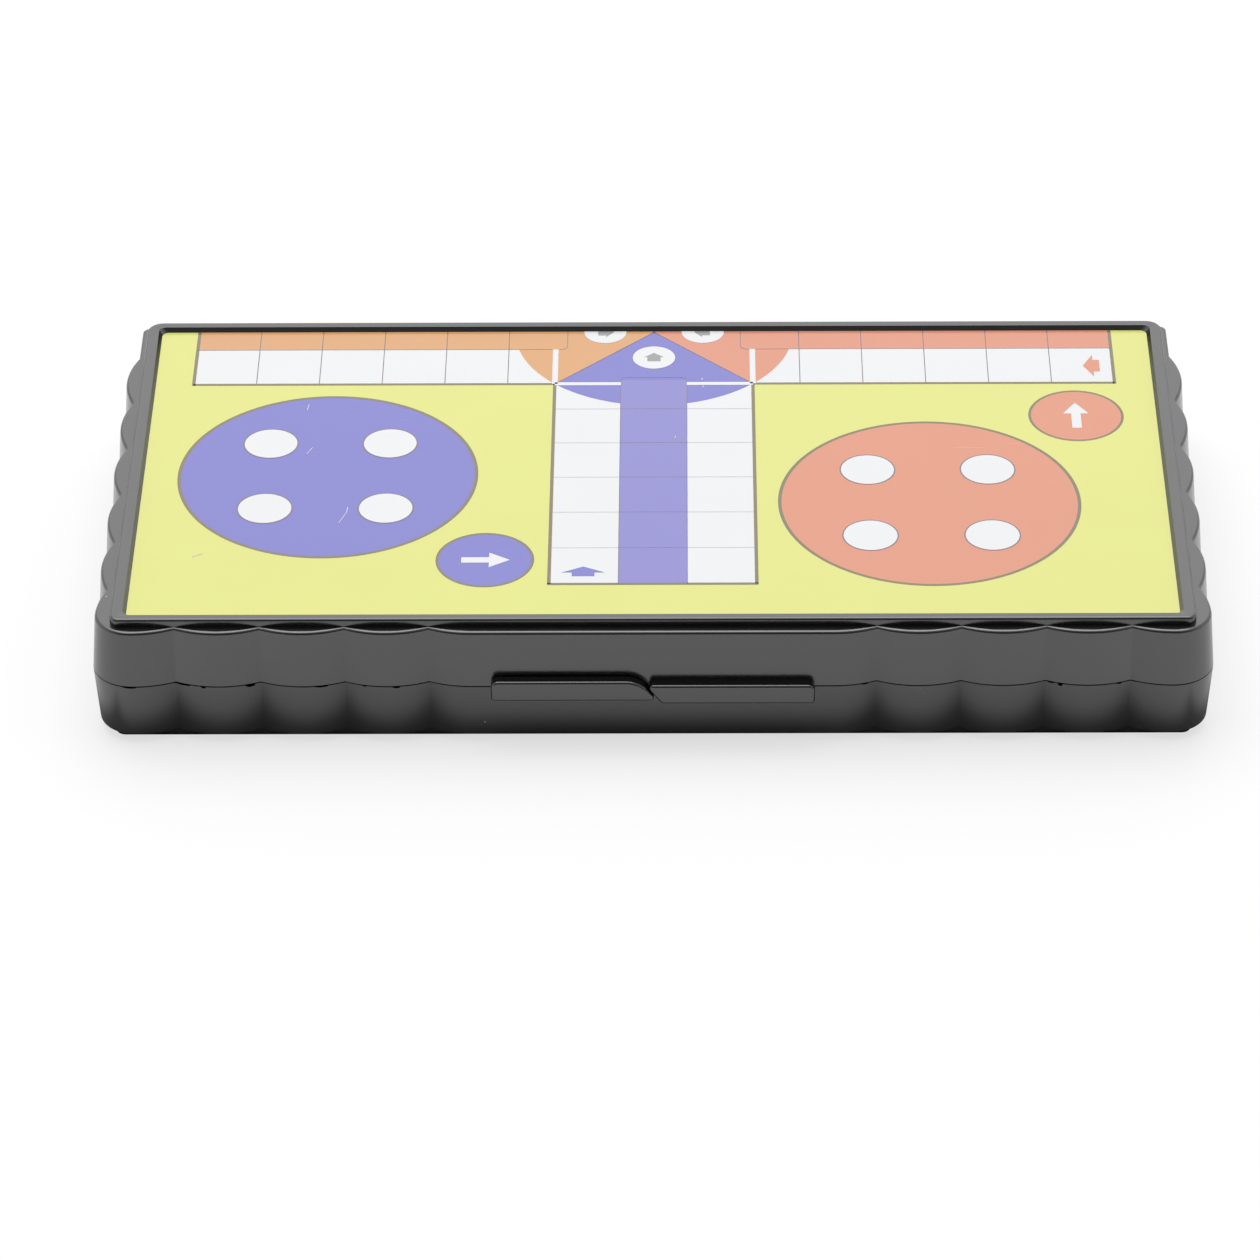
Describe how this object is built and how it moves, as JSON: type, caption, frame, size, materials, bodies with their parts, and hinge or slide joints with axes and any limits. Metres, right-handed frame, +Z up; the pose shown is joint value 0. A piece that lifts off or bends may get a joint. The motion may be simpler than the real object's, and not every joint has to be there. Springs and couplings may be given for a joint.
{
  "type": "folding game board box",
  "caption": "Flat folding box with scalloped walls, half a ludo board on each outer face, a rear hinge, thumb lips in front, and playing pieces inside.",
  "frame": {"origin": "middle of the bounding box of the shut box, on the surface that it lies on", "axes": "+X along the hinge to the right, +Y from the front wall to the hinge, +Z up"},
  "size_m": [0.16, 0.0874, 0.02],
  "materials": {
    "case_plastic": "black, satin gloss",
    "steel_sheet": "tinned steel sheet",
    "printed_film": "gloss printed film",
    "pin_steel": "bright steel pin",
    "die_plastic": "ivory, gloss",
    "magnet": "nickel-plated",
    "token_blue": "gloss",
    "token_red": "gloss",
    "token_orange": "gloss",
    "token_green": "gloss"
  },
  "bodies": {
    "lower_half": {"lower_case": "case_plastic", "lower_sheet": "steel_sheet", "lower_print": "printed_film", "hinge_pin_left": "pin_steel", "hinge_pin_right": "pin_steel"},
    "upper_half": {"upper_case": "case_plastic", "upper_sheet": "steel_sheet", "upper_print": "printed_film"},
    "die_body": {"die": "die_plastic"},
    "piece_blue_1": {"token_blue_1": "token_blue", "magnet_blue_1": "magnet"},
    "piece_blue_2": {"token_blue_2": "token_blue", "magnet_blue_2": "magnet"},
    "piece_blue_3": {"token_blue_3": "token_blue", "magnet_blue_3": "magnet"},
    "piece_blue_4": {"token_blue_4": "token_blue", "magnet_blue_4": "magnet"},
    "piece_red_1": {"token_red_1": "token_red", "magnet_red_1": "magnet"},
    "piece_red_2": {"token_red_2": "token_red", "magnet_red_2": "magnet"},
    "piece_red_3": {"token_red_3": "token_red", "magnet_red_3": "magnet"},
    "piece_red_4": {"token_red_4": "token_red", "magnet_red_4": "magnet"},
    "piece_orange_1": {"token_orange_1": "token_orange", "magnet_orange_1": "magnet"},
    "piece_orange_2": {"token_orange_2": "token_orange", "magnet_orange_2": "magnet"},
    "piece_orange_3": {"token_orange_3": "token_orange", "magnet_orange_3": "magnet"},
    "piece_orange_4": {"token_orange_4": "token_orange", "magnet_orange_4": "magnet"},
    "piece_green_1": {"token_green_1": "token_green", "magnet_green_1": "magnet"},
    "piece_green_2": {"token_green_2": "token_green", "magnet_green_2": "magnet"},
    "piece_green_3": {"token_green_3": "token_green", "magnet_green_3": "magnet"},
    "piece_green_4": {"token_green_4": "token_green", "magnet_green_4": "magnet"}
  },
  "joints": [
    {"name": "lid_hinge", "type": "hinge", "parent": "lower_half", "child": "upper_half", "pos_m": [0, 0.04177, 0.01], "axis": [-1, 0, 0], "range_deg": [0, 180]},
    {"name": "die_lift", "type": "slide", "parent": "lower_half", "child": "die_body", "axis": [0, 0, 1], "range_m": [0, 0.005]},
    {"name": "lift_blue_1", "type": "slide", "parent": "lower_half", "child": "piece_blue_1", "axis": [0, 0, 1], "range_m": [0, 0.004]},
    {"name": "lift_blue_2", "type": "slide", "parent": "lower_half", "child": "piece_blue_2", "axis": [0, 0, 1], "range_m": [0, 0.004]},
    {"name": "lift_blue_3", "type": "slide", "parent": "lower_half", "child": "piece_blue_3", "axis": [0, 0, 1], "range_m": [0, 0.004]},
    {"name": "lift_blue_4", "type": "slide", "parent": "lower_half", "child": "piece_blue_4", "axis": [0, 0, 1], "range_m": [0, 0.004]},
    {"name": "lift_red_1", "type": "slide", "parent": "lower_half", "child": "piece_red_1", "axis": [0, 0, 1], "range_m": [0, 0.004]},
    {"name": "lift_red_2", "type": "slide", "parent": "lower_half", "child": "piece_red_2", "axis": [0, 0, 1], "range_m": [0, 0.004]},
    {"name": "lift_red_3", "type": "slide", "parent": "lower_half", "child": "piece_red_3", "axis": [0, 0, 1], "range_m": [0, 0.004]},
    {"name": "lift_red_4", "type": "slide", "parent": "lower_half", "child": "piece_red_4", "axis": [0, 0, 1], "range_m": [0, 0.004]},
    {"name": "lift_orange_1", "type": "slide", "parent": "lower_half", "child": "piece_orange_1", "axis": [0, 0, 1], "range_m": [0, 0.004]},
    {"name": "lift_orange_2", "type": "slide", "parent": "lower_half", "child": "piece_orange_2", "axis": [0, 0, 1], "range_m": [0, 0.004]},
    {"name": "lift_orange_3", "type": "slide", "parent": "lower_half", "child": "piece_orange_3", "axis": [0, 0, 1], "range_m": [0, 0.004]},
    {"name": "lift_orange_4", "type": "slide", "parent": "lower_half", "child": "piece_orange_4", "axis": [0, 0, 1], "range_m": [0, 0.004]},
    {"name": "lift_green_1", "type": "slide", "parent": "lower_half", "child": "piece_green_1", "axis": [0, 0, 1], "range_m": [0, 0.004]},
    {"name": "lift_green_2", "type": "slide", "parent": "lower_half", "child": "piece_green_2", "axis": [0, 0, 1], "range_m": [0, 0.004]},
    {"name": "lift_green_3", "type": "slide", "parent": "lower_half", "child": "piece_green_3", "axis": [0, 0, 1], "range_m": [0, 0.004]},
    {"name": "lift_green_4", "type": "slide", "parent": "lower_half", "child": "piece_green_4", "axis": [0, 0, 1], "range_m": [0, 0.004]}
  ]
}
